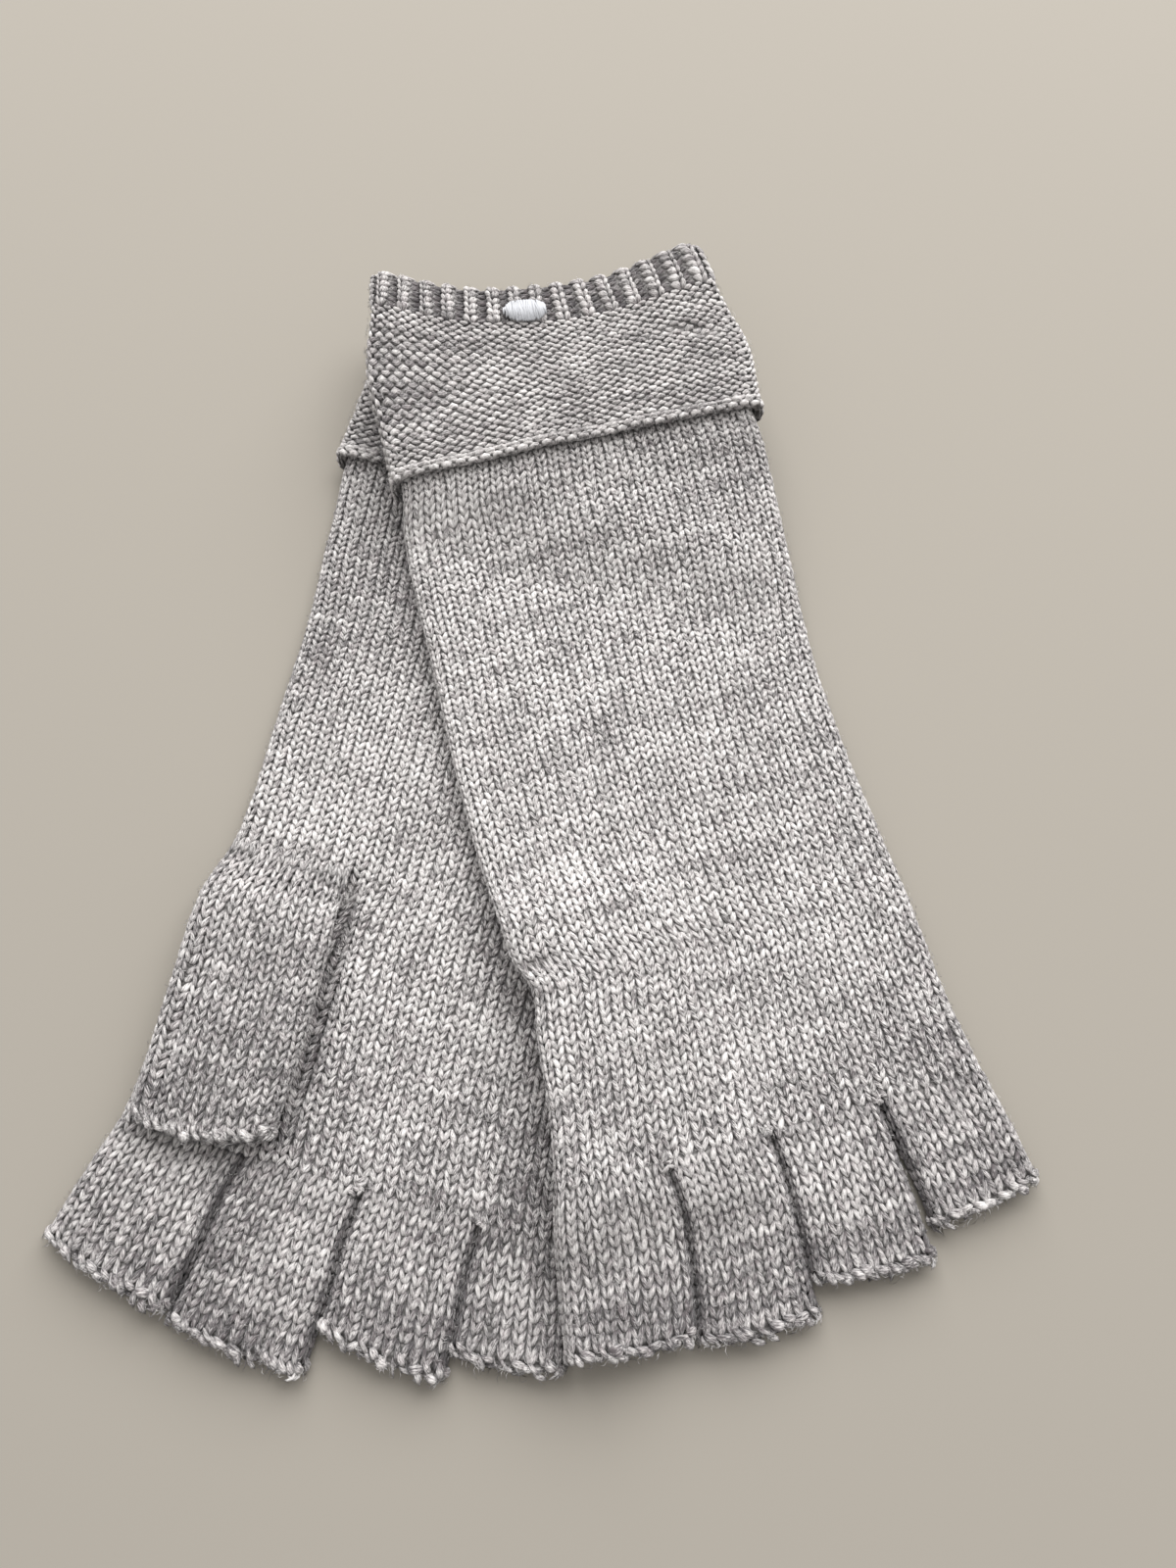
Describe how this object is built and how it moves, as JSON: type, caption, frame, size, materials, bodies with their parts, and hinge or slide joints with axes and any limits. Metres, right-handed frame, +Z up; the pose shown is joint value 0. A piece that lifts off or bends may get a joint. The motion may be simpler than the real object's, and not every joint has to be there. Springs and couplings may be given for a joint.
{
  "type": "pair of knitted fingerless gloves",
  "caption": "Pair of fine grey-marl knitted fingerless gloves with long wrists and turned-back ribbed cuffs, laid flat one across the other; warms hands and wrists.",
  "frame": {"origin": "on the table under the middle of the pair's box, where the lower glove rests", "axes": "+Z up from the table, +Y from the finger ends towards the turned-back cuffs, +X from the lower glove's index side to the upper glove's little-finger side"},
  "size_m": [0.1962, 0.246, 0.0241],
  "materials": {
    "hand_knit": "grey marl stocking stitch, matt and slightly hairy",
    "finger_knit": "grey marl stocking stitch, matt and slightly hairy",
    "thumb_knit": "grey marl stocking stitch, matt and slightly hairy",
    "cuff_knit": "grey marl knit, wrong side out, matt",
    "rib_knit": "grey marl one-by-one rib, matt",
    "mark_thread": "white embroidery thread"
  },
  "bodies": {
    "root": {"lower_hand": "hand_knit", "lower_index": "finger_knit", "lower_middle": "finger_knit", "lower_ring": "finger_knit", "lower_little": "finger_knit", "lower_thumb": "thumb_knit", "lower_cuff_band": "cuff_knit", "lower_cuff_rib": "rib_knit", "upper_hand": "hand_knit", "upper_index": "finger_knit", "upper_middle": "finger_knit", "upper_ring": "finger_knit", "upper_little": "finger_knit", "upper_thumb": "thumb_knit", "upper_cuff_band": "cuff_knit", "upper_cuff_rib": "rib_knit", "upper_mark": "mark_thread"}
  },
  "joints": []
}
